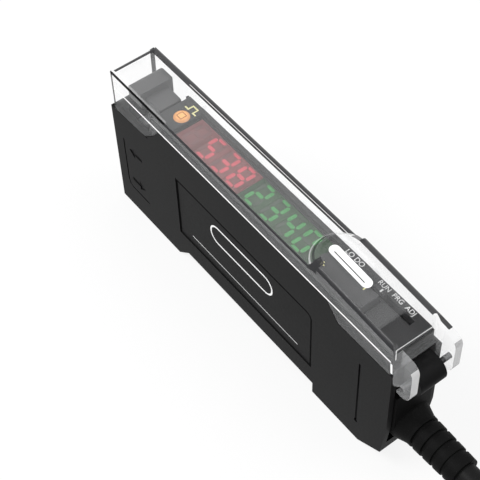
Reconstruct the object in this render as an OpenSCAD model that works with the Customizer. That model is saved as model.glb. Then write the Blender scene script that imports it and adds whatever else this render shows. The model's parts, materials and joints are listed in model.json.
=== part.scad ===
// Slim amplifier for plastic fibre optics, for a 35 mm mounting rail.
// X runs from the fibre end to the cable end, Z is up, the feet stand on Z = 0.

/* [Body] */
// width of the housing
body_w = 10; // [9.8:0.1:11]
// length of the housing's side, fibre face to cable face
body_l = 74.9; // [74.5:0.1:78]
// height of the ledge that carries the lid
ledge_z = 30; // [29.6:0.1:32]
// thickness of the housing's side walls
side_wall = 1.4; // [1.3:0.05:1.45]
// thickness of the fibre face and of the floor over the rail recess
front_wall = 2; // [1.8:0.1:2.2]
// height of the step at the fibre end, where the lid's end wall stands
step_z = 24.5; // [24:0.1:25]

/* [Rail recess] */
// width of the standard mounting rail
rail_w = 35; // [34:0.5:36]
// play of the rail in the recess
rail_play = 0.5; // [0.3:0.1:0.8]
// depth of the recess
rail_depth = 2.7; // [2.5:0.1:3]
// length of the foot at the fibre end
foot_l = 18.3; // [17.5:0.1:19]
// travel of the sprung clip
clip_travel = 1.2; // [1:0.1:1.4]
// reach of the clip and of the fixed hook under the rail
hook_reach = 1; // [0.8:0.1:1.1]

/* [Lid] */
// thickness of the clear lid
lid_wall = 0.8; // [0.7:0.05:0.9]
// height of the lid's flat top above the ledge
lid_rise = 3.6; // [3.5:0.05:4]
// height of the hump over the controls, above the flat top
hump_rise = 1.55; // [1.3:0.05:1.8]
// slope of the hump's top in degrees
hump_slope = 4.3; // [3.5:0.1:5]
// play between the lid and the housing
lid_gap = 0.1; // [0.05:0.01:0.15]
// radius of the lid's ears around the hinge pin
ear_r = 1.9; // [1.7:0.05:1.95]
// thickness of each ear
ear_t = 1.5; // [1.3:0.1:1.7]
// diameter of the hinge pin
hinge_d = 1; // [0.9:0.05:1.1]

/* [Control panel] */
// thickness of the panel's flange on the ledge
flange_t = 0.5; // [0.4:0.05:0.6]
// diameter of the output lamp
lamp_d = 2.9; // [2.6:0.1:3.1]
// thickness of the smoked window
window_t = 0.8; // [0.6:0.05:0.9]
// length of the rocker button
rocker_l = 11.4; // [10.8:0.1:11.8]
// tilt of the rocker button to each side in degrees
rocker_tilt = 4; // [3:0.5:4.5]
// travel of the output switch
output_travel = 2.8; // [2.4:0.1:3]
// travel of the mode switch, over three places
mode_travel = 6.1; // [5.6:0.1:6.3]

/* [Fibre clamp] */
// height of the upper fibre port
port_high = 16.5; // [16:0.1:17]
// height of the lower fibre port
port_low = 8.5; // [8:0.1:9]
// outside diameter of the fibre jacket
fibre_d = 2.2; // [2:0.1:2.3]
// radial play of the fibre in its port
fibre_play = 0.05; // [0.05:0.01:0.1]
// swing of the clamp lever in degrees
lever_swing = 12; // [10:0.5:12.5]
// radial play of a turning fit
run_play = 0.05; // [0.03:0.01:0.08]

/* [Cable] */
// diameter of the cable
cable_d = 4.4; // [4:0.1:4.6]
// length of the strain relief outside the housing
boot_l = 12.6; // [12:0.1:14]
// length of the straight runs of the hank that holds the rest of the cable
hank_l = 30; // [26:1:34]
// radius of the hank's inner fold, to the middle of the cable
fold_r = 13.4; // [13.2:0.1:14]

/* [Hidden] */
$fn = 48;

// cross-wise places, from the middle plane outwards
half_w = body_w / 2;
cavity_y = half_w - side_wall;
lid_in_y = half_w - lid_wall;
pocket_y = lid_in_y - lid_gap;
flange_y = lid_in_y - 0.2;
plug_y = cavity_y - 0.1;
inner_y = cavity_y - 0.2;
knuckle_y = 2.6;
channel_y = half_w - 1;
over = 1;

// places along the housing
back_x = body_l - 4.4;
channel_x = body_l - 2.7;
deck_x0 = 12.2;
deck_x1 = body_l - 1.3;
seat_x1 = body_l - 1.9;
seat_gap = 0.1;
rail_x0 = foot_l + 3.05;
rail_x1 = rail_x0 + rail_w + rail_play;
foot_x1 = body_l - 6.2;
clip_l = 6.8;
clip_room = 0.6;
floor_z = rail_depth + 1.5;

// marks on the near side
label_x0 = foot_l + 0.9;
label_x1 = body_l - 18.5;
label_z0 = 7;
label_z1 = step_z - 2.6;
label_r = 1.5;
mark_sink = 0.2;
groove_x = body_l - 7;
groove_w = 0.4;
groove_z0 = 5.2;
groove_z1 = step_z - 2.5;
groove_sink = 0.3;

// lid and hinge
lid_top = ledge_z + lid_rise;
lid_in_z = lid_top - lid_wall;
pivot_x = body_l + 2;
pivot_z = ledge_z - 3.9;
ear_x1 = pivot_x + ear_r;
overall_l = ear_x1;
knuckle_r = 2.4;
knuckle_x = ear_x1 - knuckle_r;
knuckle_z = pivot_z - 1.05;
end_r = 2;
corner_r = 1.8;
edge_r = 0.8;
hump_edge_r = 1.2;
nose_r = half_w;
nose_x = body_l - 17.9;
hump_x = nose_x + 0.5;
hump_z = lid_top + hump_rise;
tail_r = 2.2;
tail_x = body_l - tail_r;
tail_z = ledge_z + 1.9;
end_wall_z = ledge_z - 1.8;
tab_z = ledge_z - 3.1;
tab_x0 = body_l - 15.3;
tab_x1 = body_l - 12.4;
snap_w = 0.8;

// panel
deck_z = ledge_z + flange_t;
plug_z = ledge_z - 1.5;
board_z1 = ledge_z - 3;
board_z0 = board_z1 - 0.8;
board_x1 = back_x - 2;
shelf_x = [20, 44, back_x - 4];
rocker_x = body_l - 15.6;
rocker_y0 = -2.9;
rocker_y1 = 0.8;
rocker_gap = 0.075 * rocker_tilt;
rocker_dish_r = 40;
rocker_dish = 0.4;
lamp_x = deck_x0 + 3;
digits = 4;
window_margin = 0.4;
window_bar = 0.4;
window_x0 = lamp_x + lamp_d / 2 + 0.25;
window_x1 = rocker_x - rocker_l / 2 - rocker_gap - window_bar;
display_gap = 1;
digit_pitch = (window_x1 - window_x0 - display_gap - 2.76) / (2 * digits);
red_x = window_x0 + 0.65;
green_x = red_x + digits * digit_pitch + display_gap;
display_x0 = window_x0 + window_margin;
display_x1 = window_x1 - window_margin;
display_split = green_x - display_gap / 2;
display_part = 0.1;
display_y = inner_y - 0.6;
window_y = display_y + 0.35;
window_gap = 0.05;
digit_rim = 0.25;
digit_bar = 0.5;
digit_sink = 0.1;
switch_y0 = 1.1;
switch_y1 = 2.9;
switch_over = 0.3;
tact_w = 3;
tact_y = -1;
tact_h = 0.7;
plunger_r = 0.7;
plunger_h = 1.05;
rocker_z = ledge_z - 0.6;
rocker_top = ledge_z + 1.9;
rocker_pin_d = 1;
slot_y0 = 1.4;
slot_y1 = 2.5;
slot_gap = 0.06;
knob_gap = 0.1;
knob_foot_z1 = plug_z - knob_gap;
knob_foot_z0 = knob_foot_z1 - 0.5;
knob_edge = 0.2;
knob_cap = 0.4;
knob_top = ledge_z + 1.3;
output_knob_l = 2;
output_x = rocker_x - 5;
mode_knob_l = 2.5;
mode_x = rocker_x + 3.15;
knob_skirt = 0.6;
press_x = 3.7;

// fibre clamp
lever_x = 9;
lever_z = ledge_z - 8.5;
lever_pin_d = 1.6;
lever_boss_r = 1.7;
lever_y = 2.3;
neck_z = deck_z + 0.3;
tab_half_y = cavity_y - 0.2;
head_x0 = 4.1;
head_x1 = 8;
head_z0 = ledge_z - 1.2;
head_z1 = ledge_z + 2.2;
head_r = 1.4;
finger_x = 2.8;
finger_r = 0.7;
finger_neck = 0.4;
clamp_lift = finger_x * sin(lever_swing);
plate_x0 = 6.1;
plate_x1 = 7.5;
plate_y = 2.6;
plate_lip = 1.1;
plate_play = 0.2;
finger_gap = 0.06;
bush_r = 2.2;
bush_l = 5.9;
bush_flange_r = 2.8;
bush_flange_l = 1.2;
mouth = 0.5;
block_x0 = 8;
block_x1 = 13.8;
block_z1 = port_high + 3;
eye_x = 10.8;
eye_r = 1.65;
bore_r = fibre_d / 2 + fibre_play;

// cable
boot_z = 10;
boot_root_r = 3.1;
boot_end_r = 2.8;
boot_neck_r = 2.4;
boot_x1 = body_l + boot_l;
boot_base_y = channel_y - 0.15;
boot_base_z1 = knuckle_z - knuckle_r - 2.8;
boot_base_x1 = body_l + 0.4;
rib_n = 4;
rib_x = body_l + 3.4;
rib_pitch = 2.2;
rib_w = 1.5;
rib_sink = 0.3;
cable_sides = 12;
exit_l = 2 * cable_d;
drop_l = 27;
drop_n = 8;
drop_h = boot_z - cable_d / 2;
drop_x = boot_x1 + exit_l;
hank_x0 = drop_x + drop_l + 2;
hank_x1 = hank_x0 + hank_l;
route = concat([[boot_x1, 0, boot_z]],
    [for (i = [0 : drop_n])
        [drop_x + drop_l * i / drop_n, 0, boot_z - drop_h * (1 - cos(180 * i / drop_n)) / 2]],
    [[hank_x0, 0, boot_z - drop_h]]);
hank_wide = 2;
hank_high = 6;
hank_h = hank_high * cable_d;
hank_y = fold_r + (hank_wide - 1) * cable_d;
hank_in = fold_r - cable_d / 2;
hank_out = hank_y + cable_d / 2;
tie_t = 0.7;
tie_w = 3.5;
tie_x = (hank_x0 + hank_x1) / 2;
tie_y0 = hank_y - hank_out;
tie_y1 = hank_y - hank_in;
tie_head_w = 5;
tie_head_h = 3;

function unit(v) = v / norm(v);
function way(i) = i == 0 ? [1, 0, 0] :
    unit(route[min(i + 1, len(route) - 1)] - route[i - 1]);
function rim(i, k) = route[i] + cable_d / 2 * (cos(k * 360 / cable_sides) * [0, 1, 0]
    + sin(k * 360 / cable_sides) * [-way(i)[2], 0, way(i)[0]]);

near_shell();
far_shell();
top_panel();
display_window();
output_lamp();
red_display();
green_display();
display_board();
main_board();
push_switches();
slide_switches();
rocker_button();
rocker_pin();
output_switch();
mode_switch();
optical_block();
emitter();
receiver();
emitter_port();
receiver_port();
clamp_lever();
lever_pin();
clamp_plate();
lid();
hinge_pin();
rail_clip();
cable_boot();
cable();
cable_coil();
cable_tie();

// the part's origin is under the middle of its length
module placed() {
    translate([-overall_l / 2, 0, 0]) children();
}

// an outline in X and Z, drawn out from y0 to y1
module side(y0, y1) {
    translate([0, y1, 0]) rotate([90, 0, 0]) linear_extrude(height = y1 - y0) children();
}

// an outline in Y and Z, drawn out from x0 to x1
module along(x0, x1) {
    translate([x0, 0, 0]) rotate([90, 0, 90]) linear_extrude(height = x1 - x0) children();
}

module box(x0, x1, y0, y1, z0, z1) {
    translate([x0, y0, z0]) cube([x1 - x0, y1 - y0, z1 - z0]);
}

module pin_y(x, z, r, y0, y1) {
    translate([x, y1, z]) rotate([90, 0, 0]) cylinder(r = r, h = y1 - y0);
}

module rod_x(x0, x1, z, r) {
    translate([x0, 0, z]) rotate([0, 90, 0]) cylinder(r = r, h = x1 - x0);
}

// the housing, as two halves that meet in the middle plane
module body_outline() {
    polygon([[0, 0], [foot_l, 0], [rail_x0, rail_depth], [rail_x1, rail_depth], [rail_x1, 0],
        [foot_x1, 0], [body_l - 0.9, 3.2], [body_l, 11.2], [body_l, end_wall_z - 0.3],
        [body_l - 1.1, end_wall_z - 0.3], [body_l - 1.1, ledge_z], [3.9, ledge_z],
        [front_wall, step_z], [0, step_z]]);
}

module cavity_outline() {
    polygon([[front_wall, floor_z], [back_x, floor_z], [back_x, ledge_z + over],
        [over, ledge_z + over], [over, step_z + 2.4], [front_wall + 2.3, step_z + 2.4],
        [front_wall + 1.4, step_z], [front_wall, step_z - 2]]);
}

module knuckle_outline() {
    translate([knuckle_x, knuckle_z]) circle(r = knuckle_r);
    translate([channel_x - over, knuckle_z - knuckle_r])
        square([knuckle_x - channel_x + over, 2 * knuckle_r]);
}

module fibre_tab_pocket() {
    polygon([[-over, step_z], [10.75, step_z + 0.6], [13.9, ledge_z - 2.1],
        [15.4, ledge_z], [15.4, ledge_z + over], [-over, ledge_z + over]]);
}

// the side walls stand lower beside the lever
module lever_window() {
    polygon([[-over, step_z + 0.6], [deck_x0 - 0.8, step_z + 0.6], [deck_x0 - 0.8, ledge_z + over],
        [-over, ledge_z + over]]);
}

module cable_tab_pocket() {
    polygon([[tab_x0 - lid_gap, ledge_z + over], [tab_x0 - lid_gap, ledge_z],
        [tab_x1 - lid_gap, tab_z - lid_gap], [body_l + over, tab_z - lid_gap],
        [body_l + over, ledge_z + over]]);
}

module half_shell() {
    difference() {
        union() {
            side(0, half_w) body_outline();
            side(0, knuckle_y) knuckle_outline();
            side(0, 2.2) polygon([[foot_l - 2, 0.4], [rail_x0 + hook_reach, 0.4],
                [rail_x0 + hook_reach, 1.4], [foot_l - 2, 1.4]]);
        }
        side(pocket_y, half_w + over) fibre_tab_pocket();
        side(pocket_y, half_w + over) cable_tab_pocket();
        side(cavity_y - 0.05, half_w + over) lever_window();
        side(-over, cavity_y) cavity_outline();
        box(deck_x0 - seat_gap, seat_x1, -over, cavity_y, board_z1 - seat_gap, ledge_z + over);
        box(channel_x, body_l + over, -over, channel_y, 5.7, knuckle_z - knuckle_r);
        rod_x(-over, front_wall + over, port_high, bush_r + run_play);
        rod_x(-over, front_wall + over, port_low, bush_r + run_play);
        rod_x(back_x - over, channel_x + over, boot_z, boot_neck_r + run_play);
        pin_y(lever_x, lever_z, lever_pin_d / 2, -over, cavity_y + 0.4);
        pin_y(pivot_x, pivot_z, hinge_d / 2, -over, knuckle_y + over);
        box(rail_x1 - over, rail_x1 + clip_l + clip_travel + clip_room, -over,
            2.3, 0.5, 2.1);
    }
    for (x = shelf_x) shelf(x);
}

// a rib inside the wall that carries the display board
module shelf(x) {
    box(x, x + 2, cavity_y - 0.8, cavity_y + 0.2, board_z0 - over, board_z0);
}

module label_outline() {
    polygon([[label_x0, label_z0], [label_x1, label_z0], [label_x1, label_z1 - label_r],
        [label_x1 - label_r, label_z1 - label_r], [label_x1 - label_r, label_z1],
        [label_x0, label_z1]]);
    translate([label_x1 - label_r, label_z1 - label_r]) circle(r = label_r);
}

module corner_line() {
    polygon([[2.65, 18], [2.65, 7.3], [3, 5.9], [4, 5.4], [9.3, 5.4], [9.3, 5.75],
        [4.1, 5.75], [3.3, 6.1], [3, 7.4], [3, 18]]);
}

// an arrow towards a fibre port, its point at the left
module port_arrow() {
    polygon([[0, 0], [1.7, 1.2], [1.7, 0.4], [4, 0.4], [4, -0.4], [1.7, -0.4], [1.7, -1.2]]);
}

module near_shell() {
    color([0.16, 0.16, 0.16]) placed() difference() {
        mirror([0, 1, 0]) half_shell();
        side(-half_w - over, mark_sink - half_w) label_outline();
        side(-half_w - over, mark_sink - half_w) corner_line();
        side(-half_w - over, mark_sink - half_w) translate([4.4, port_high]) port_arrow();
        side(-half_w - over, mark_sink - half_w) translate([8.4, port_low])
            rotate(180) port_arrow();
        box(groove_x - groove_w / 2, groove_x + groove_w / 2, -half_w - over,
            groove_sink - half_w, groove_z0, groove_z1);
        pin_y(groove_x, groove_z0, groove_w, -half_w - over, 2 * groove_sink - half_w);
    }
}

module far_shell() {
    color([0.15, 0.15, 0.15]) placed() half_shell();
}

// the panel under the lid, with its window, lamp hole and switch slots
module top_panel() {
    color([0.2, 0.2, 0.2]) placed() difference() {
        union() {
            box(deck_x0, seat_x1 - seat_gap, -plug_y, plug_y, plug_z, ledge_z);
            box(deck_x0, deck_x1, -flange_y, flange_y, ledge_z, deck_z);
        }
        translate([lamp_x, 0, plug_z - over])
            cylinder(d = lamp_d + 2 * run_play, h = deck_z - plug_z + 2 * over);
        box(window_x0 + 0.3, window_x1 - 0.3, -display_y - 0.1, display_y + 0.1,
            plug_z - over, deck_z + over);
        box(window_x0 - window_gap, window_x1 + window_gap, -window_y - window_gap,
            window_y + window_gap, deck_z - window_t, deck_z + over);
        box(rocker_x - rocker_l / 2 - rocker_gap, rocker_x + rocker_l / 2 + rocker_gap,
            rocker_y0 - 0.1, rocker_y1 + 0.1, plug_z - over, deck_z + over);
        pin_y(rocker_x, rocker_z, rocker_pin_d / 2, rocker_y0 - 0.5, rocker_y1 + 0.4);
        box(output_x - knob_gap, output_x + output_knob_l + output_travel + knob_gap,
            slot_y0, slot_y1, plug_z - over, deck_z + over);
        box(mode_x - knob_gap, mode_x + mode_knob_l + mode_travel + knob_gap,
            slot_y0, slot_y1, plug_z - over, deck_z + over);
    }
}

module display_window() {
    color([0.25, 0.22, 0.22, 0.6]) placed()
        box(window_x0, window_x1, -window_y, window_y, deck_z - window_t, deck_z);
}

module output_lamp() {
    color([1, 0.6, 0.15]) placed() translate([lamp_x, 0, 0]) rotate_extrude()
        polygon([[0, board_z1], [lamp_d / 2, board_z1], [lamp_d / 2, deck_z],
            [lamp_d / 2 - 0.3, deck_z + 0.25], [0, deck_z + 0.35]]);
}

// a display from x0 to x1 with a shallow pocket for each digit, the first from digit_x on
module display_block(x0, x1, digit_x) {
    difference() {
        box(x0, x1, -display_y, display_y, board_z1, deck_z - window_t);
        for (n = [0 : digits - 1])
            box(digit_x + n * digit_pitch + digit_bar, digit_x + (n + 1) * digit_pitch - digit_bar,
                digit_rim - display_y, display_y - digit_rim,
                deck_z - window_t - digit_sink, deck_z);
    }
}

module red_display() {
    color([0.5, 0.1, 0.1]) placed()
        display_block(display_x0, display_split - display_part, red_x);
}

module green_display() {
    color([0.1, 0.4, 0.15]) placed()
        display_block(display_split + display_part, display_x1, green_x);
}

module display_board() {
    color([0.1, 0.35, 0.2]) placed()
        box(deck_x0 + 0.8, back_x - 0.3, -inner_y, inner_y, board_z0, board_z1);
}

module main_board() {
    color([0.1, 0.35, 0.2]) placed()
        box(block_x1 + 0.7, board_x1, -0.5, 0.5, floor_z, board_z0);
}

module push_switches() {
    color([0.3, 0.3, 0.32]) placed() for (s = [-1, 1]) {
        box(rocker_x + s * press_x - tact_w / 2, rocker_x + s * press_x + tact_w / 2,
            tact_y - tact_w / 2, tact_y + tact_w / 2, board_z1, board_z1 + tact_h);
        translate([rocker_x + s * press_x, tact_y, board_z1])
            cylinder(r = plunger_r, h = plunger_h);
    }
}

module slide_switches() {
    color([0.3, 0.3, 0.32]) placed() {
        box(output_x - switch_over, output_x + output_knob_l + output_travel + switch_over,
            switch_y0, switch_y1, board_z1, knob_foot_z0 - knob_gap);
        box(mode_x - switch_over, mode_x + mode_knob_l + mode_travel + switch_over,
            switch_y0, switch_y1, board_z1, knob_foot_z0 - knob_gap);
    }
}

module rocker_outline() {
    difference() {
        translate([rocker_x - rocker_l / 2, plug_z + 0.1])
            square([rocker_l, rocker_top - plug_z - 0.1]);
        translate([rocker_x, rocker_top + rocker_dish_r - rocker_dish])
            circle(r = rocker_dish_r, $fn = 180);
        translate([rocker_x, rocker_z]) circle(d = rocker_pin_d + 2 * run_play);
    }
}

module rocker_plan() {
    r = (rocker_y1 - rocker_y0) / 2;
    translate([rocker_x - rocker_l / 2 + r, rocker_y0]) square([rocker_l - r, 2 * r]);
    translate([rocker_x - rocker_l / 2 + r, rocker_y0 + r]) circle(r = r);
}

module rocker_button() {
    color([0.22, 0.22, 0.23]) placed() intersection() {
        side(rocker_y0, rocker_y1) rocker_outline();
        translate([0, 0, plug_z - over])
            linear_extrude(height = rocker_top - plug_z + 2 * over) rocker_plan();
    }
}

module rocker_pin() {
    color([0.7, 0.7, 0.72]) placed()
        pin_y(rocker_x, rocker_z, rocker_pin_d / 2, rocker_y0 - 0.5, rocker_y1 + 0.4);
}

// a switch knob: a stem in its slot and a foot under the panel
module knob(x0, len) {
    box(x0, x0 + len, slot_y0 + slot_gap, slot_y1 - slot_gap, knob_foot_z1, knob_top - knob_cap);
    box(x0 + knob_edge, x0 + len - knob_edge, slot_y0 + knob_edge, slot_y1 - knob_edge,
        knob_top - knob_cap, knob_top);
    box(x0 - knob_skirt, x0 + len + knob_skirt, switch_y0 + knob_gap, switch_y1 - knob_gap,
        knob_foot_z0, knob_foot_z1);
}

module output_switch() {
    color([0.25, 0.25, 0.26]) placed() knob(output_x, output_knob_l);
}

module mode_switch() {
    color([0.25, 0.25, 0.26]) placed() knob(mode_x, mode_knob_l);
}

// the block behind the clamp, with the two optical elements
module optical_block() {
    color([0.1, 0.1, 0.11]) placed() difference() {
        box(block_x0, block_x1, -inner_y, inner_y, floor_z, block_z1);
        rod_x(block_x0 - over, eye_x + over, port_high, bore_r);
        rod_x(block_x0 - over, eye_x + over, port_low, bore_r);
        rod_x(eye_x, block_x1 + over, port_high, eye_r + run_play);
        rod_x(eye_x, block_x1 + over, port_low, eye_r + run_play);
    }
}

module optical_element(z) {
    rod_x(eye_x, block_x1, z, eye_r);
    for (s = [-1, 1]) rod_x(block_x1 - over, block_x1 + 0.7, z + 0.7 * s, 0.25);
}

module emitter() {
    color([0.8, 0.3, 0.3]) placed() optical_element(port_high);
}

module receiver() {
    color([0.3, 0.3, 0.4]) placed() optical_element(port_low);
}

// a bush with a flared mouth that takes one fibre
module bush(z) {
    translate([0, 0, z]) rotate([0, 90, 0]) rotate_extrude()
        polygon([[bore_r + mouth, 0], [bush_r, 0], [bush_r, front_wall],
            [bush_flange_r, front_wall], [bush_flange_r, front_wall + bush_flange_l],
            [bush_r, front_wall + bush_flange_l], [bush_r, bush_l], [bore_r, bush_l],
            [bore_r, mouth]]);
}

module emitter_port() {
    color([0.12, 0.12, 0.12]) placed() bush(port_high);
}

module receiver_port() {
    color([0.12, 0.12, 0.12]) placed() bush(port_low);
}

// the lever swings forward on its pin and lets the clamp plate down
module head_outline() {
    translate([head_x0, head_z0]) square([head_x1 - head_x0, head_z1 - head_r - head_z0]);
    translate([head_x0 + head_r, head_z0]) square([head_x1 - head_x0 - head_r, head_z1 - head_z0]);
    translate([head_x0 + head_r, head_z1 - head_r]) circle(r = head_r);
}

module clamp_lever() {
    color([0.3, 0.3, 0.31]) placed() difference() {
        union() {
            side(-tab_half_y, tab_half_y) head_outline();
            side(-lever_y, lever_y) polygon([[head_x1 - over, head_z0], [head_x1 + 0.3, head_z0],
                [lever_x - 1.1, lever_z], [lever_x + 1.1, lever_z], [deck_x0 - 1.5, head_z0],
                [deck_x0 - 0.3, head_z0 + 1], [deck_x0 - 0.3, neck_z - 0.2],
                [head_x1 + 0.4, neck_z], [head_x1 - over, neck_z]]);
            pin_y(lever_x, lever_z, lever_boss_r, -lever_y, lever_y);
            box(lever_x - finger_x, lever_x - over, -lever_y, lever_y,
                lever_z - finger_neck, lever_z + finger_neck);
            pin_y(lever_x - finger_x, lever_z, finger_r, -lever_y, lever_y);
        }
        pin_y(lever_x, lever_z, lever_pin_d / 2 + run_play, -lever_y - over, lever_y + over);
    }
}

module lever_pin() {
    color([0.7, 0.7, 0.72]) placed()
        pin_y(lever_x, lever_z, lever_pin_d / 2, -cavity_y - 0.4, cavity_y + 0.4);
}

module clamp_plate() {
    color([0.75, 0.75, 0.77]) placed() difference() {
        union() {
            box(plate_x0, plate_x1, -plate_y, plate_y, floor_z + clamp_lift + 0.2,
                lever_z - finger_r - plate_lip + 0.4);
            box(plate_x0 - plate_lip, plate_x1 - 0.5, -plate_y, plate_y,
                lever_z - finger_r - plate_lip, lever_z + finger_r + plate_lip);
        }
        box(lever_x - finger_x - finger_r - 2 * finger_gap, plate_x1 + over, -plate_y - over,
            plate_y + over, lever_z - finger_r - finger_gap, lever_z + finger_r + finger_gap);
        rod_x(plate_x0 - over, plate_x1 + over, port_high + clamp_lift, bore_r + plate_play);
        rod_x(plate_x0 - over, plate_x1 + over, port_low + clamp_lift, bore_r + plate_play);
    }
}

// the clear lid: flat top, hump, tabs on both sides and ears on the hinge
module lid_outline() {
    polygon([[0, step_z + lid_gap], [10.7, step_z + 0.6 + lid_gap], [13.8, ledge_z - 2],
        [15.2, ledge_z + lid_gap], [tab_x0, ledge_z + lid_gap], [tab_x1, tab_z],
        [body_l - 0.8, tab_z], [body_l, tab_z + 0.8], [body_l, tail_z], [body_l - 5, tail_z],
        [body_l - 5, lid_top], [end_r, lid_top], [0, lid_top - end_r]]);
    translate([end_r, lid_top - end_r]) circle(r = end_r);
}

// the lid seen from above, round at the fibre end's corners
module lid_plan() {
    translate([0, corner_r - half_w]) square([body_l, body_w - 2 * corner_r]);
    translate([corner_r, -half_w]) square([body_l - corner_r, body_w]);
    for (s = [-1, 1]) translate([corner_r, s * (half_w - corner_r)]) circle(r = corner_r);
}

module lid_hollow() {
    polygon([[lid_wall, floor_z], [body_l + over, floor_z], [body_l + over, end_wall_z],
        [body_l - lid_wall, end_wall_z], [body_l - lid_wall, tail_z], [body_l - 5, tail_z],
        [body_l - 5, lid_in_z], [end_r, lid_in_z], [lid_wall, lid_top - end_r]]);
    translate([end_r, lid_top - end_r]) circle(r = end_r - lid_wall);
}

module rounded_section(half, top, r) {
    translate([-half, top - 12]) square([2 * half, 12 - r]);
    translate([r - half, top - 12]) square([2 * (half - r), 12]);
    translate([r - half, top - r]) circle(r = r);
    translate([half - r, top - r]) circle(r = r);
}

module hump_end(off) {
    translate([nose_x - 8, tail_z - 0.5]) square([body_l - off - nose_x + 8, 0.5]);
    translate([nose_x - 8, tail_z - 0.5]) square([tail_x - nose_x + 8, 8]);
    translate([tail_x, tail_z]) circle(r = tail_r - off);
}

module hump(off) {
    intersection() {
        union() {
            translate([nose_x, 0, lid_top - 2])
                cylinder(r1 = nose_r + 2 - 1.4 * off, r2 = nose_r - 2 - 1.4 * off, h = 4);
            box(nose_x, body_l, -half_w, half_w, lid_top - 4, lid_top + 4);
        }
        translate([hump_x, 0, hump_z]) rotate([0, hump_slope, 0])
            along(-10, 20) rounded_section(half_w - off, -off, hump_edge_r - off);
        side(-half_w, half_w) hump_end(off);
    }
}

module ear_outline() {
    translate([pivot_x, pivot_z]) circle(r = ear_r);
    translate([pivot_x, ledge_z + 0.8]) circle(r = ear_r);
    polygon([[body_l - 0.6, end_wall_z + 0.2], [pivot_x - ear_r, end_wall_z - 0.2],
        [pivot_x - ear_r, pivot_z], [ear_x1, pivot_z], [ear_x1, ledge_z + 0.8],
        [pivot_x + 0.6, ledge_z + 2.6], [body_l - 1.4, ledge_z + 3.1]]);
}

module lid() {
    color([0.85, 0.87, 0.88, 0.35]) placed() difference() {
        union() {
            difference() {
                union() {
                    intersection() {
                        side(-half_w, half_w) lid_outline();
                        along(-over, body_l + over) rounded_section(half_w, lid_top, edge_r);
                        linear_extrude(height = lid_top + over) lid_plan();
                    }
                    hump(0);
                }
                side(-lid_in_y, lid_in_y) lid_hollow();
                hump(lid_wall);
            }
            side(half_w - ear_t, half_w) ear_outline();
            side(-half_w, ear_t - half_w) ear_outline();
        }
        pin_y(pivot_x, pivot_z, hinge_d / 2 + run_play, -half_w - over, half_w + over);
        translate([pivot_x, -half_w - over, pivot_z]) rotate([0, 135, 0])
            translate([0, 0, -snap_w / 2]) cube([ear_r + over, body_w + 2 * over, snap_w]);
    }
}

module hinge_pin() {
    color([0.7, 0.7, 0.72]) placed()
        pin_y(pivot_x, pivot_z, hinge_d / 2, 0.2 - half_w, half_w - 0.2);
}

// the clip that slides under the rail's edge, sprung towards the fibre end
module rail_clip() {
    color([0.22, 0.22, 0.22]) placed() {
        side(-2.2, 2.2) polygon([[rail_x1 - hook_reach, 1.6], [rail_x1 - hook_reach, 1.3],
            [rail_x1 - hook_reach + 0.7, 0.6], [rail_x1 + clip_l, 0.6], [rail_x1 + clip_l, 2],
            [rail_x1 + 0.2, 2], [rail_x1 - 0.2, 1.6]]);
    }
}

// the strain relief: a collar and a base in the housing's end, and a ribbed sleeve outside
module boot_base_outline() {
    r = boot_base_y;
    translate([-r, boot_z]) square([2 * r, boot_base_z1 - boot_z]);
    translate([0, boot_z]) circle(r = r);
}

module cable_boot() {
    color([0.06, 0.06, 0.06]) placed() {
        translate([0, 0, boot_z]) rotate([0, 90, 0]) rotate_extrude() difference() {
            polygon([[0, back_x - 1.5], [3.2, back_x - 1.5], [3.2, back_x - 0.1],
                [boot_neck_r, back_x - 0.1], [boot_neck_r, channel_x + 0.1],
                [boot_base_y, channel_x + 0.1], [boot_base_y, boot_base_x1],
                [boot_root_r, boot_base_x1 + 2.2], [boot_end_r, boot_x1], [0, boot_x1]]);
            for (n = [0 : rib_n - 1])
                translate([boot_end_r - rib_sink + 0.1, rib_x + n * rib_pitch])
                    square([over, rib_pitch - rib_w]);
        }
        along(channel_x + 0.1, boot_base_x1) boot_base_outline();
    }
}

module cable() {
    n = len(route);
    s = cable_sides;
    color([0.05, 0.05, 0.05]) placed() polyhedron(
        points = [for (i = [0 : n - 1]) for (k = [0 : s - 1]) rim(i, k)],
        faces = concat(
            [[for (k = [0 : s - 1]) k]],
            [[for (k = [0 : s - 1]) (n - 1) * s + s - 1 - k]],
            [for (i = [0 : n - 2]) for (k = [0 : s - 1])
                [i * s + k, (i + 1) * s + k, (i + 1) * s + (k + 1) % s, i * s + (k + 1) % s]]));
}

// the rest of the cable, folded into a hank and tied round the run next to the housing
module hank_outline(r) {
    translate([hank_x0, hank_y - r]) square([hank_l, 2 * r]);
    translate([hank_x0, hank_y]) circle(r = r);
    translate([hank_x1, hank_y]) circle(r = r);
}

module cable_coil() {
    color([0.05, 0.05, 0.05]) placed() difference() {
        linear_extrude(height = hank_h) difference() {
            hank_outline(hank_out);
            hank_outline(hank_in);
        }
        tie_loop();
    }
}

module tie_loop() {
    along(tie_x - tie_w / 2, tie_x + tie_w / 2) difference() {
        translate([tie_y0 - tie_t, 0]) square([tie_y1 - tie_y0 + 2 * tie_t, hank_h + tie_t]);
        translate([tie_y0, tie_t]) square([tie_y1 - tie_y0, hank_h - tie_t]);
    }
}

module cable_tie() {
    color([0.08, 0.08, 0.08]) placed() {
        tie_loop();
        box(tie_x - tie_head_w / 2, tie_x + tie_head_w / 2, tie_y1 - tie_head_w, tie_y1,
            hank_h, hank_h + tie_head_h);
    }
}
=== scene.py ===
"""Slim fibre amplifier for a mounting rail: finishes, lit digits, lettering, cable and studio.

Places are in millimetres on the part's own drawing, where x starts at the fibre face,
y at the middle plane and z at the feet; at() turns them into metres of the shared frame.
"""
import json
import math

import bmesh
import bpy
from mathutils import Matrix, Vector

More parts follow.
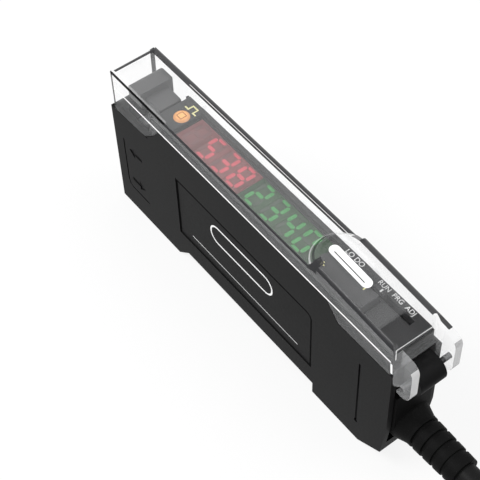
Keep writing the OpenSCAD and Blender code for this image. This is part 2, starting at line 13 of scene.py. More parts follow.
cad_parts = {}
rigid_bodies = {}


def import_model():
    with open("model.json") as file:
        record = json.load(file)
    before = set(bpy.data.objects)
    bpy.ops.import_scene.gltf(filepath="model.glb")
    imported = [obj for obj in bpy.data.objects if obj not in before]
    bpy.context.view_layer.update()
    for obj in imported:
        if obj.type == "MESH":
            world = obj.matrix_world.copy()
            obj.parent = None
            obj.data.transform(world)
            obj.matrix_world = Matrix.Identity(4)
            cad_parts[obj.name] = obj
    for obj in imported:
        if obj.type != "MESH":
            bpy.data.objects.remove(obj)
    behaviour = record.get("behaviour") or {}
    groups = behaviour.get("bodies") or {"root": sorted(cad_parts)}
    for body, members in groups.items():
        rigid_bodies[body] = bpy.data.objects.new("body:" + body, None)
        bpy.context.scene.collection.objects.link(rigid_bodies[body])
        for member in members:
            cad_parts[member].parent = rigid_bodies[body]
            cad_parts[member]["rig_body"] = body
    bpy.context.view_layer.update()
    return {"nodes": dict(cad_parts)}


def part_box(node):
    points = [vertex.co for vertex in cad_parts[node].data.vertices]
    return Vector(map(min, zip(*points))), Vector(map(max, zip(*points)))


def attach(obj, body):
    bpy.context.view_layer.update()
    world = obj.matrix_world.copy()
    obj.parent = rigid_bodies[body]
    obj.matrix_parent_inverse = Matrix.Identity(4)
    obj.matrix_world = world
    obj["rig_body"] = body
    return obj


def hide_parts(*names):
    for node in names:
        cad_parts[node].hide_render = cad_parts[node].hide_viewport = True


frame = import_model()

MM = 0.001
HALF_LENGTH = 39.4
scene = bpy.context.scene


def at(x, y, z):
    return Vector(((x - HALF_LENGTH) * MM, y * MM, z * MM))


def drawn(point):
    """A point of the frame, in millimetres on the drawing."""
    return point[0] / MM + HALF_LENGTH, point[1] / MM, point[2] / MM


# camera: fitted to the straight edges of the housing in the photograph
CAMERA_PLACE = (0.10673, -0.08197, 0.19203)
CAMERA_RIGHT = (0.60783, 0.79355, -0.02861)
CAMERA_DOWN = (0.61364, -0.49228, -0.61734)
CAMERA_AHEAD = (-0.50398, 0.35768, -0.78617)


def set_camera():
    lens = bpy.data.cameras.new("photo_lens")
    lens.sensor_width = 36.0
    lens.lens = 98.085
    lens.clip_start = 0.01
    lens.clip_end = 20.0
    eye = bpy.data.objects.new("photo_camera", lens)
    turn = Matrix((CAMERA_RIGHT, [-v for v in CAMERA_DOWN], [-v for v in CAMERA_AHEAD]))
    eye.matrix_world = Matrix.Translation(CAMERA_PLACE) @ turn.transposed().to_4x4()
    scene.collection.objects.link(eye)
    scene.camera = eye


set_camera()


# node trees and materials
def add(tree, kind, inputs=None, **settings):
    """A new node; inputs are plain values or the sockets that feed them."""
    made = tree.nodes.new(kind)
    for key, value in settings.items():
        setattr(made, key, value)
    for key, value in (inputs or {}).items():
        if isinstance(value, bpy.types.NodeSocket):
            tree.links.new(value, made.inputs[key])
        else:
            made.inputs[key].default_value = value
    return made


def blank_material(name):
    made = bpy.data.materials.new(name)
    made.use_nodes = True
    return made, made.node_tree, made.node_tree.nodes["Principled BSDF"]


def ramp(tree, value, low, high, start=0.3, end=0.7):
    made = add(tree, "ShaderNodeValToRGB", {"Fac": value})
    first, last = made.color_ramp.elements
    first.position, first.color = start, (*low, 1.0)
    last.position, last.color = end, (*high, 1.0)
    return made.outputs["Color"]


def shade(colour, factor):
    return tuple(min(1.0, c * factor) for c in colour)


def moulded(name, colour, roughness, grain=2200.0, relief=0.25, mottle=0.10, specular=0.4):
    """A moulded plastic: spark-eroded grain, slightly uneven tone and gloss."""
    made, tree, skin = blank_material(name)
    place = add(tree, "ShaderNodeTexCoord").outputs["Object"]
    fine = add(tree, "ShaderNodeTexNoise",
               {"Vector": place, "Scale": grain, "Detail": 4.0, "Roughness": 0.6}).outputs["Fac"]
    broad = add(tree, "ShaderNodeTexNoise",
                {"Vector": place, "Scale": 110.0, "Detail": 3.0}).outputs["Fac"]
    tone = ramp(tree, broad, shade(colour, 1.0 - mottle), shade(colour, 1.0 + mottle))
    gloss = add(tree, "ShaderNodeMapRange",
                {"Value": fine, "To Min": roughness - 0.07, "To Max": roughness + 0.07})
    bump = add(tree, "ShaderNodeBump", {"Height": fine, "Strength": relief, "Distance": 0.00002})
    tree.links.new(tone, skin.inputs["Base Color"])
    tree.links.new(gloss.outputs["Result"], skin.inputs["Roughness"])
    tree.links.new(bump.outputs["Normal"], skin.inputs["Normal"])
    skin.inputs["Specular IOR Level"].default_value = specular
    return made


def metal(name, colour, roughness, stretch):
    """Steel with fine marks drawn out along one axis."""
    made, tree, skin = blank_material(name)
    place = add(tree, "ShaderNodeTexCoord").outputs["Object"]
    drawn_out = add(tree, "ShaderNodeMapping", {"Vector": place, "Scale": stretch}).outputs["Vector"]
    marks = add(tree, "ShaderNodeTexNoise",
                {"Vector": drawn_out, "Scale": 900.0, "Detail": 5.0}).outputs["Fac"]
    tone = ramp(tree, marks, shade(colour, 0.8), colour)
    gloss = add(tree, "ShaderNodeMapRange",
                {"Value": marks, "To Min": roughness - 0.08, "To Max": roughness + 0.1})
    bump = add(tree, "ShaderNodeBump", {"Height": marks, "Strength": 0.15, "Distance": 0.00001})
    tree.links.new(tone, skin.inputs["Base Color"])
    tree.links.new(gloss.outputs["Result"], skin.inputs["Roughness"])
    tree.links.new(bump.outputs["Normal"], skin.inputs["Normal"])
    skin.inputs["Metallic"].default_value = 1.0
    return made


def clear_sheet(name, tint, cover, roughness, specular=0.5):
    """A thin clear moulding: cover is the share of light that its skin holds back."""
    made, tree, skin = blank_material(name)
    place = add(tree, "ShaderNodeTexCoord").outputs["Object"]
    flow = add(tree, "ShaderNodeTexNoise",
               {"Vector": place, "Scale": 60.0, "Detail": 2.0, "Distortion": 0.6}).outputs["Fac"]
    tone = ramp(tree, flow, shade(tint, 0.96), tint)
    gloss = add(tree, "ShaderNodeMapRange",
                {"Value": flow, "To Min": roughness * 0.7, "To Max": roughness * 1.3})
    tree.links.new(tone, skin.inputs["Base Color"])
    tree.links.new(gloss.outputs["Result"], skin.inputs["Roughness"])
    skin.inputs["Alpha"].default_value = cover
    skin.inputs["Specular IOR Level"].default_value = specular
    return made


def lit(name, colour, glow, strength, roughness=0.4):
    """A face that glows: light-emitting segments and the light spread around them."""
    made, tree, skin = blank_material(name)
    place = add(tree, "ShaderNodeTexCoord").outputs["Object"]
    cloud = add(tree, "ShaderNodeTexNoise",
                {"Vector": place, "Scale": 700.0, "Detail": 2.0}).outputs["Fac"]
    tree.links.new(ramp(tree, cloud, shade(colour, 0.85), colour), skin.inputs["Base Color"])
    tree.links.new(ramp(tree, cloud, shade(glow, 0.88), glow), skin.inputs["Emission Color"])
    skin.inputs["Emission Strength"].default_value = strength
    skin.inputs["Roughness"].default_value = roughness
    return made


def amber_lens(name, centre):
    """The lamp: a lit square chip with a darker edge under an amber dome with a paler rim."""
    made, tree, skin = blank_material(name)
    place = add(tree, "ShaderNodeTexCoord").outputs["Object"]
    local = add(tree, "ShaderNodeVectorMath", {0: place, 1: centre}, operation="SUBTRACT").outputs[0]
    size = add(tree, "ShaderNodeVectorMath", {0: local}, operation="ABSOLUTE").outputs[0]
    parts = add(tree, "ShaderNodeSeparateXYZ", {0: size}).outputs
    square = add(tree, "ShaderNodeMath", {0: parts["X"], 1: parts["Y"]}, operation="MAXIMUM").outputs[0]
    flat = add(tree, "ShaderNodeVectorMath", {0: local, 1: (1.0, 1.0, 0.0)},
               operation="MULTIPLY").outputs[0]
    reach = add(tree, "ShaderNodeVectorMath", {0: flat}, operation="LENGTH").outputs["Value"]
    chip = add(tree, "ShaderNodeMapRange", {"Value": square, "From Max": 0.0014}).outputs["Result"]
    dome = add(tree, "ShaderNodeMapRange", {"Value": reach, "From Max": 0.0015}).outputs["Result"]
    inner = ramp(tree, chip, (1.0, 0.5, 0.16), (0.36, 0.12, 0.02), 0.33, 0.4)
    outer = ramp(tree, dome, (0.85, 0.4, 0.12), (0.5, 0.23, 0.1), 0.6, 1.0)
    inside = add(tree, "ShaderNodeMath", {0: chip, 1: 0.5}, operation="LESS_THAN").outputs[0]
    glow = add(tree, "ShaderNodeMix", {"Factor": inside, "A": outer, "B": inner}, data_type="RGBA")
    tree.links.new(glow.outputs["Result"], skin.inputs["Emission Color"])
    skin.inputs["Base Color"].default_value = (0.1, 0.04, 0.01, 1.0)
    skin.inputs["Emission Strength"].default_value = 0.95
    skin.inputs["Roughness"].default_value = 0.15
    return made


def jacket(name, colour, roughness, specular=0.4):
    """Cable sheath: satin plastic with faint marks across the pull."""
    made, tree, skin = blank_material(name)
    place = add(tree, "ShaderNodeTexCoord").outputs["Object"]
    marks = add(tree, "ShaderNodeTexNoise",
                {"Vector": place, "Scale": 1300.0, "Detail": 3.0}).outputs["Fac"]
    tone = ramp(tree, marks, shade(colour, 0.8), shade(colour, 1.2))
    gloss = add(tree, "ShaderNodeMapRange",
                {"Value": marks, "To Min": roughness - 0.08, "To Max": roughness + 0.08})
    bump = add(tree, "ShaderNodeBump", {"Height": marks, "Strength": 0.2, "Distance": 0.00003})
    skin.inputs["Specular IOR Level"].default_value = specular
    tree.links.new(tone, skin.inputs["Base Color"])
    tree.links.new(gloss.outputs["Result"], skin.inputs["Roughness"])
    tree.links.new(bump.outputs["Normal"], skin.inputs["Normal"])
    return made


HOUSING = moulded("spark_eroded_black", (0.0062, 0.0062, 0.0064), 0.55, specular=0.07)
PANEL = moulded("satin_panel", (0.03, 0.03, 0.031), 0.45, relief=0.12, specular=0.25)
BUTTON = moulded("satin_button", (0.05, 0.05, 0.052), 0.4, relief=0.04, specular=0.35)
LEVER = moulded("satin_lever", (0.06, 0.06, 0.061), 0.4, relief=0.15, specular=0.35)
BUSH = moulded("bush_black", (0.02, 0.02, 0.02), 0.5)
HOLDER = moulded("optics_black", (0.012, 0.012, 0.012), 0.7)
SWITCH_BODY = moulded("switch_grey", (0.1, 0.1, 0.11), 0.5)
CLIP = moulded("clip_black", (0.03, 0.03, 0.03), 0.5)
BOARD = moulded("board_green", (0.02, 0.12, 0.05), 0.35, grain=500.0, mottle=0.25)
BOOT = moulded("boot_rubber", (0.004, 0.004, 0.004), 0.6, grain=1500.0, specular=0.06)
TIE = moulded("nylon_tie", (0.018, 0.018, 0.018), 0.35)
SHEATH = jacket("cable_sheath", (0.006, 0.006, 0.006), 0.5, specular=0.1)
PIN = metal("ground_pin", (0.62, 0.62, 0.63), 0.3, (1.0, 0.05, 1.0))
DARK_PIN = metal("blackened_pin", (0.07, 0.07, 0.072), 0.45, (1.0, 0.05, 1.0))
PLATE = metal("stamped_plate", (0.58, 0.58, 0.6), 0.4, (1.0, 1.0, 0.1))
OPTIC = moulded("epoxy_lens", (0.35, 0.08, 0.08), 0.12, grain=400.0, relief=0.02)
CLEAR_LID = clear_sheet("clear_lid", (0.9, 0.91, 0.92), 0.055, 0.12)
# painted sheen: a thicker white haze on the near wall, so it looks lighter than the rest of the lid
NEAR_WALL_SHEEN_SHEET = clear_sheet("clear_lid_near_wall_sheen", (0.9, 0.91, 0.92), 0.075, 0.12)
# painted shade: near-black sheet on the lid's rounded edges, its front edge and two lines along the far
# edge, standing in for the dark lines that refraction makes there
EDGE_SHADE_SHEET = clear_sheet("clear_lid_painted_edge_shade", (0.02, 0.02, 0.022), 0.96, 0.3, specular=0.2)
# painted shade: dark band on the round nose of the hump
NOSE_SHADE_SHEET = clear_sheet("clear_lid_painted_nose_shade", (0.03, 0.03, 0.033), 0.6, 0.2, specular=0.25)
# painted shade: a thinner haze than the rest of the lid, so the hump's top and the end wall look darker
HUMP_SHADE_SHEET = clear_sheet("clear_lid_shaded_hump", (0.9, 0.91, 0.92), 0.025, 0.12)
# painted sheen: a thicker white haze on the ears and past the far edge's end
LID_EAR = clear_sheet("clear_lid_ear", (0.85, 0.86, 0.87), 0.12, 0.15)
# painted shade: grey sheet on the far ear's end face
FAR_EAR_SHADE_SHEET = clear_sheet("clear_lid_far_ear_shade", (0.16, 0.16, 0.165), 0.6, 0.2)
# painted highlight: white strip at the foot of the hump's nose
LID_GLINT = clear_sheet("clear_lid_glint", (0.95, 0.95, 0.95), 0.35, 0.15)
# painted highlight: near-white sheet on the near ear's end face
LID_EAR_GLINT = clear_sheet("clear_lid_ear_glint", (0.97, 0.97, 0.97), 0.62, 0.15)
# painted shade: less haze and no gloss on the hump's sloping tail, so it looks darker
TAIL_SHADE_SHEET = clear_sheet("clear_lid_painted_tail_shade", (0.2, 0.2, 0.205), 0.02, 0.12, specular=0.0)
# painted highlight: pale strip on the lid's rounded near edge beside the lever
NEAR_EDGE_HIGHLIGHT = clear_sheet("clear_lid_near_edge_highlight", (0.9, 0.9, 0.9), 0.2, 0.15)
LID_SHADE = clear_sheet("clear_lid_shade", (0.004, 0.004, 0.004), 0.97, 0.4, specular=0.04)
# painted highlight: near-white sheet for white lines and reflections on the lid
WHITE_HIGHLIGHT_SHEET = clear_sheet("clear_lid_painted_highlight", (1.0, 1.0, 1.0), 0.92, 0.2)
SMOKED = clear_sheet("smoked_window", (0.06, 0.055, 0.055), 0.12, 0.1)
WHITE_INK = moulded("white_ink", (0.85, 0.85, 0.85), 0.5, mottle=0.04, relief=0.1)
YELLOW_INK = moulded("pale_yellow_ink", (0.75, 0.72, 0.36), 0.5, mottle=0.05, relief=0.1)
# dark ink for the plate's printed line, and painted shade along the label field's edge
DARK_PRINT_AND_SHADE = moulded("dark_line", (0.003, 0.003, 0.003), 0.8, mottle=0.05, relief=0.1, specular=0.02)
GREY_INK = moulded("grey_ink", (0.5, 0.5, 0.5), 0.5, mottle=0.05, relief=0.1)
RED_FIELD = lit("red_face", (0.1, 0.03, 0.03), (1.0, 0.36, 0.36), 0.17)
GREEN_FIELD = lit("green_face", (0.02, 0.06, 0.02), (0.35, 1.0, 0.37), 0.03)
RED_BAR = lit("red_segment", (0.2, 0.04, 0.05), (1.0, 0.14, 0.18), 0.62)
GREEN_BAR = lit("green_segment", (0.04, 0.15, 0.06), (0.12, 1.0, 0.17), 0.25)
RED_DARK_BAR = lit("red_segment_off", (0.12, 0.05, 0.05), (1.0, 0.4, 0.4), 0.1)
GREEN_DARK_BAR = lit("green_segment_off", (0.05, 0.08, 0.05), (0.5, 1.0, 0.5), 0.02)
LAMP_X = 15.2
AMBER = amber_lens("amber_lamp", at(LAMP_X, 0.0, 0.0))


# pieces
def piece(name, mesh, body, material, replaces=()):
    """A finished object of this mesh that rides on a body."""
    made = bpy.data.objects.new(name, mesh)
    scene.collection.objects.link(made)
    if material is not None:
        mesh.materials.clear()
        mesh.materials.append(material)
    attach(made, body)
    if replaces:
        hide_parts(*replaces)
    return made


def evaluated_mesh(helper, name):
    """The helper's mesh with its modifiers done; the helper itself is removed."""
    bpy.context.view_layer.update()
    graph = bpy.context.evaluated_depsgraph_get()
    mesh = bpy.data.meshes.new_from_object(helper.evaluated_get(graph), depsgraph=graph)
    mesh.name = name
    old = helper.data
    bpy.data.objects.remove(helper)
    if isinstance(old, bpy.types.Mesh):
        bpy.data.meshes.remove(old)
    else:
        bpy.data.curves.remove(old)
    return mesh


def helper_object(name, data):
    made = bpy.data.objects.new(name, data)
    scene.collection.objects.link(made)
    return made


def mesh_of(bm, name):
    bmesh.ops.recalc_face_normals(bm, faces=bm.faces)
    mesh = bpy.data.meshes.new(name)
    bm.to_mesh(mesh)
    bm.free()
    return mesh


SMOOTH_ANGLE = math.radians(34.0)


def softened(node, name, material, width, least_area=0.0, segments=2, cuts=()):
    """A copy of a CAD node with its outer edges rounded by width, in millimetres.

    Each cut is a point and a way: faces are parted there, so that they can differ in finish.
    """
    bm = bmesh.new()
    bm.from_mesh(frame["nodes"][node].data)
    bmesh.ops.remove_doubles(bm, verts=bm.verts, dist=1e-7)
    bmesh.ops.dissolve_limit(bm, angle_limit=math.radians(0.6), verts=bm.verts, edges=bm.edges)
    sharp = [e for e in bm.edges if len(e.link_faces) == 2 and e.is_convex
             and e.calc_face_angle(0.0) > SMOOTH_ANGLE
             and min(f.calc_area() for f in e.link_faces) > least_area * MM * MM]
    bmesh.ops.bevel(bm, geom=sharp, offset=width * MM, offset_type="OFFSET", segments=segments,
                    profile=0.5, affect="EDGES", clamp_overlap=True)
    for point, way in cuts:
        bmesh.ops.bisect_plane(bm, geom=[*bm.verts, *bm.edges, *bm.faces], dist=1e-7,
                               plane_co=point, plane_no=way)
    mesh = bpy.data.meshes.new(name + "_helper")
    bm.to_mesh(mesh)
    bm.free()
    for polygon in mesh.polygons:
        polygon.use_smooth = True
    mesh.set_sharp_from_angle(angle=SMOOTH_ANGLE)
    helper = helper_object(name + "_helper", mesh)
    even = helper.modifiers.new("even_normals", "WEIGHTED_NORMAL")
    even.keep_sharp = True
    return piece(name, evaluated_mesh(helper, name), frame["nodes"][node]["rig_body"], material,
                 (node,))


# geometry node trees
def new_tree(name, sockets):
    """A tree with a geometry in and out and the named inputs; gives the tree, its ends and keys."""
    tree = bpy.data.node_groups.new(name, "GeometryNodeTree")
    tree.interface.new_socket("Geometry", in_out="INPUT", socket_type="NodeSocketGeometry")
    keys = {}
    for label, kind in sockets:
        keys[label] = tree.interface.new_socket(label, in_out="INPUT", socket_type=kind).identifier
    tree.interface.new_socket("Geometry", in_out="OUTPUT", socket_type="NodeSocketGeometry")
    return tree, tree.nodes.new("NodeGroupInput"), tree.nodes.new("NodeGroupOutput"), keys


def finish_tree(tree, geometry, material, out):
    real = add(tree, "GeometryNodeRealizeInstances", {"Geometry": geometry})
    painted = add(tree, "GeometryNodeSetMaterial",
                  {"Geometry": real.outputs["Geometry"], "Material": material})
    tree.links.new(painted.outputs["Geometry"], out.inputs["Geometry"])


def tube_tree():
    """A round tube along the edges of a polyline."""
    tree, given, out, keys = new_tree("tube_along_path", [
        ("Radius", "NodeSocketFloat"), ("Sides", "NodeSocketInt"), ("Material", "NodeSocketMaterial")])
    path = add(tree, "GeometryNodeMeshToCurve", {"Mesh": given.outputs["Geometry"]})
    ring = add(tree, "GeometryNodeCurvePrimitiveCircle",
               {"Resolution": given.outputs["Sides"], "Radius": given.outputs["Radius"]})
    tube = add(tree, "GeometryNodeCurveToMesh",
               {"Curve": path.outputs["Curve"], "Profile Curve": ring.outputs["Curve"],
                "Fill Caps": True})
    smooth = add(tree, "GeometryNodeSetShadeSmooth", {"Geometry": tube.outputs["Mesh"]})
    finish_tree(tree, smooth.outputs["Geometry"], given.outputs["Material"], out)
    return tree, keys


def bar_tree():
    """Display bars with blunt pointed ends, one on each point, turned and drawn out as it says."""
    tree, given, out, keys = new_tree("display_bars", [
        ("Length", "NodeSocketFloat"), ("Width", "NodeSocketFloat"), ("Height", "NodeSocketFloat"),
        ("Material", "NodeSocketMaterial")])
    outline = add(tree, "GeometryNodeCurvePrimitiveQuadrilateral",
                  {"Width": given.outputs["Length"], "Height": given.outputs["Width"]})
    half = add(tree, "ShaderNodeMath", {0: given.outputs["Width"], 1: 0.42}, operation="MULTIPLY")
    cut = add(tree, "GeometryNodeFilletCurve",
              {"Curve": outline.outputs["Curve"], "Radius": half.outputs[0], "Count": 2},
              mode="POLY")
    face = add(tree, "GeometryNodeFillCurve", {"Curve": cut.outputs["Curve"]})
    rise = add(tree, "ShaderNodeCombineXYZ", {"Z": given.outputs["Height"]})
    body = add(tree, "GeometryNodeExtrudeMesh",
               {"Mesh": face.outputs["Mesh"], "Offset": rise.outputs[0], "Offset Scale": 1.0,
                "Individual": False})
    under = add(tree, "GeometryNodeFlipFaces", {"Mesh": face.outputs["Mesh"]})
    closed = add(tree, "GeometryNodeJoinGeometry")
    tree.links.new(body.outputs["Mesh"], closed.inputs["Geometry"])
    tree.links.new(under.outputs["Mesh"], closed.inputs["Geometry"])
    welded = add(tree, "GeometryNodeMergeByDistance",
                 {"Geometry": closed.outputs["Geometry"], "Distance": 1e-6})
    turn = add(tree, "GeometryNodeInputNamedAttribute", {"Name": "turn"}, data_type="FLOAT")
    angle = add(tree, "ShaderNodeCombineXYZ", {"Z": turn.outputs["Attribute"]})
    stretch = add(tree, "GeometryNodeInputNamedAttribute", {"Name": "stretch"}, data_type="FLOAT")
    size = add(tree, "ShaderNodeCombineXYZ", {"X": stretch.outputs["Attribute"], "Y": 1.0, "Z": 1.0})
    placed = add(tree, "GeometryNodeInstanceOnPoints",
                 {"Points": given.outputs["Geometry"], "Instance": welded.outputs["Geometry"],
                  "Rotation": angle.outputs[0], "Scale": size.outputs[0]})
    finish_tree(tree, placed.outputs["Instances"], given.outputs["Material"], out)
    return tree, keys


TUBE, TUBE_KEYS = tube_tree()
BARS, BAR_KEYS = bar_tree()


def grown(name, mesh, tree, keys, values):
    """The plain mesh that a tree makes of mesh with these inputs."""
    helper = helper_object(name + "_helper", mesh)
    modifier = helper.modifiers.new("grow", "NODES")
    modifier.node_group = tree
    for label, value in values.items():
        modifier[keys[label]] = value
    return evaluated_mesh(helper, name)


def polyline(name, points):
    mesh = bpy.data.meshes.new(name)
    mesh.from_pydata([tuple(p) for p in points], [(i, i + 1) for i in range(len(points) - 1)], [])
    return mesh


# cable: straight out of the boot, down to the floor, then a tied hank just outside the view
CABLE_D = 4.4
TUBE_R = 2.17
BOOT_END = 87.5
CABLE_Z = 10.0
FLOOR_Z = 2.2
DROP_START = 96.3
DROP_L = 27.0
DROP_STEPS = 14
HANK_START = 125.3
HANK_END = 155.3
HANK_Y = 17.8
TURN_RADII = (17.8, 13.4)
LAYERS = 6
FOLD_STEPS = 14
STATIONS = ([0.0, 0.5] + [1.0 + k / FOLD_STEPS for k in range(FOLD_STEPS)] + [2.0, 2.5]
            + [3.0 + k / FOLD_STEPS for k in range(FOLD_STEPS)])


def ease(t):
    t = max(0.0, min(1.0, t))
    return t * t * (3.0 - 2.0 * t)


def on_hank(station, radius, z):
    """A place on one turn: 0 to 1 is the near run, 1 to 2 a fold, 2 to 3 the far run, then a fold."""
    leg = int(station)
    share = station - leg
    if leg in (0, 2):
        x = HANK_START + (HANK_END - HANK_START) * (share if leg == 0 else 1.0 - share)
        return at(x, HANK_Y + (radius if leg else -radius), z)
    turn = math.pi * (share + (0.5 if leg == 3 else -0.5))
    middle = HANK_END if leg == 1 else HANK_START
    return at(middle + radius * math.cos(turn), HANK_Y + radius * math.sin(turn), z)


def cable_path():
    """The cable's centreline: exit, drop and hank, wound from the floor up."""
    points = [at(x, 0.0, CABLE_Z) for x in (BOOT_END - 2.0, BOOT_END, (BOOT_END + DROP_START) / 2.0)]
    for k in range(DROP_STEPS + 1):
        height = (1.0 + math.cos(math.pi * k / DROP_STEPS)) / 2.0
        points.append(at(DROP_START + DROP_L * k / DROP_STEPS, 0.0,
                         FLOOR_Z + (CABLE_Z - FLOOR_Z) * height))
    turns = []
    for layer in range(LAYERS):
        radii = TURN_RADII if layer % 2 == 0 else TURN_RADII[::-1]
        turns += [(radius, FLOOR_Z + layer * CABLE_D) for radius in radii]
    for n, (r0, z0) in enumerate(turns):
        r1, z1 = turns[min(n + 1, len(turns) - 1)]
        for station in STATIONS:
            if n == len(turns) - 1 and station > 3.0:
                break
            shift = ease((station - 3.5) / 0.5)
            points.append(on_hank(station, r0 + (r1 - r0) * shift, z0 + (z1 - z0) * shift))
    return points


CABLE_PATH = cable_path()
cable = piece("cable_run", grown("cable_run", polyline("cable_path", CABLE_PATH), TUBE, TUBE_KEYS,
                                 {"Radius": TUBE_R * MM, "Sides": 20, "Material": SHEATH}),
              "housing", None, ("cable", "cable_coil"))

LEADS = (("brown", (0.12, 0.045, 0.02), -1.5), ("blue", (0.02, 0.07, 0.35), -0.5),
         ("black", (0.012, 0.012, 0.012), 0.5), ("white", (0.75, 0.75, 0.73), 1.5))
LEAD_R = 0.5
LEAD_BARE = 5
LEAD_STEPS = 24
FAN_STEPS = 8
LEAD_START = 2.96
LEAD_SPAN = 0.5


def lead_points(offset):
    """A free lead: out of the sheath's end and along the top of the turn below."""
    points = []
    below = FLOOR_Z + (LAYERS - 2) * CABLE_D
    for step in range(LEAD_STEPS + 1):
        fan = ease(step / FAN_STEPS)
        aside = offset * (0.5 + 0.56 * fan)
        rest = below + math.sqrt((CABLE_D / 2.0 + LEAD_R) ** 2 - aside ** 2)
        start = below + CABLE_D
        points.append(on_hank(LEAD_START + LEAD_SPAN * step / LEAD_STEPS, TURN_RADII[0] + aside,
                              start + (rest - start) * fan))
    return points


for colour_name, colour, offset in LEADS:
    route = lead_points(offset)
    lead = grown("lead_" + colour_name, polyline("lead_path", route[:-LEAD_BARE]), TUBE, TUBE_KEYS,
                 {"Radius": LEAD_R * MM, "Sides": 12,
                  "Material": jacket("lead_" + colour_name, colour, 0.4)})
    piece("lead_" + colour_name, lead, "housing", None)
    tip = grown("tip_" + colour_name, polyline("tip_path", route[-LEAD_BARE - 2:]), TUBE, TUBE_KEYS,
                {"Radius": 0.6 * LEAD_R * MM, "Sides": 10, "Material": PIN})
    piece("tip_" + colour_name, tip, "housing", None)


# rigid pieces with rounded edges in place of the plain solids
softened("near_shell", "near_shell_moulding", HOUSING, 0.2, 2.0)
softened("far_shell", "far_shell_moulding", HOUSING, 0.2, 2.0)
softened("top_panel", "panel_moulding", PANEL, 0.12, 1.0)
softened("clamp_lever", "lever_moulding", LEVER, 0.25, 0.5)
softened("rocker_button", "rocker_moulding", BUTTON, 0.15, 0.2)
softened("output_switch", "output_knob_moulding", BUTTON, 0.08)
softened("mode_switch", "mode_knob_moulding", BUTTON, 0.08)
softened("rail_clip", "clip_moulding", CLIP, 0.12)
boot = softened("cable_boot", "boot_moulding", BOOT, 0.18)
tie = softened("cable_tie", "tie_strap", TIE, 0.12)

# lid: one clear skin, parted where strips of it look dark, white or clear in the photograph; the dark
# strips are painted shade, the white ones painted highlights and reflections, and thicker or thinner
# haze is painted sheen or shade
FRONT_X = 2.2
LINE_START = 12.5
SHADE_END = 17.2
HUMP_START = 53.0
FOOT_END = 62.0
TAIL_START = 70.4
END_WALL_X = 72.7
EAR_START = 74.9
FAR_EDGE_END = 76.4
EAR_END_X = 77.0
NEAR_EDGE_CUT_Y = -4.28
# the thin and the wide line of painted shade along the lid's far edge are parted at these
THIN_LINE = (3.47, 3.84)
WIDE_LINE = 3.93
WALL_IN_Y = 4.1
FAR_EDGE_Y = 4.2
WALL_FOOT_Z = 31.0
TAIL_Z = 32.0
FLAT_Z = 33.5
LID_TOP = 33.6
HUMP_Z = 33.7
GLINT_TOP = 33.85
NOSE_SHADE = (34.1, 34.5)
LID_FINISHES = (CLEAR_LID, EDGE_SHADE_SHEET, NOSE_SHADE_SHEET, HUMP_SHADE_SHEET, LID_EAR, LID_GLINT, FAR_EAR_SHADE_SHEET, NEAR_WALL_SHEEN_SHEET,
                TAIL_SHADE_SHEET, NEAR_EDGE_HIGHLIGHT, LID_SHADE, LID_EAR_GLINT, WHITE_HIGHLIGHT_SHEET)
LID_CUTS = [(at(x, 0.0, 0.0), (1.0, 0.0, 0.0))
            for x in (LINE_START, SHADE_END, TAIL_START, EAR_START, FAR_EDGE_END)]
LID_CUTS += [(at(0.0, y, 0.0), (0.0, 1.0, 0.0))
             for y in (NEAR_EDGE_CUT_Y, *THIN_LINE, WIDE_LINE, FAR_EDGE_Y)]
LID_CUTS += [(at(0.0, 0.0, z), (0.0, 0.0, 1.0)) for z in (GLINT_TOP, *NOSE_SHADE)]


def nose_finish(z):
    """The hump's round nose: a painted highlight at its foot and a band of painted shade above."""
    if z < GLINT_TOP:
        return LID_GLINT
    return NOSE_SHADE_SHEET if NOSE_SHADE[0] < z < NOSE_SHADE[1] else CLEAR_LID


def near_edge_finish(across):
    """The rounded near edge beside the lever: a pale painted highlight over a black line of painted
    shade.
    """
    if across <= 0.55:
        return NEAR_EDGE_HIGHLIGHT
    return LID_SHADE if across < 0.9 else CLEAR_LID


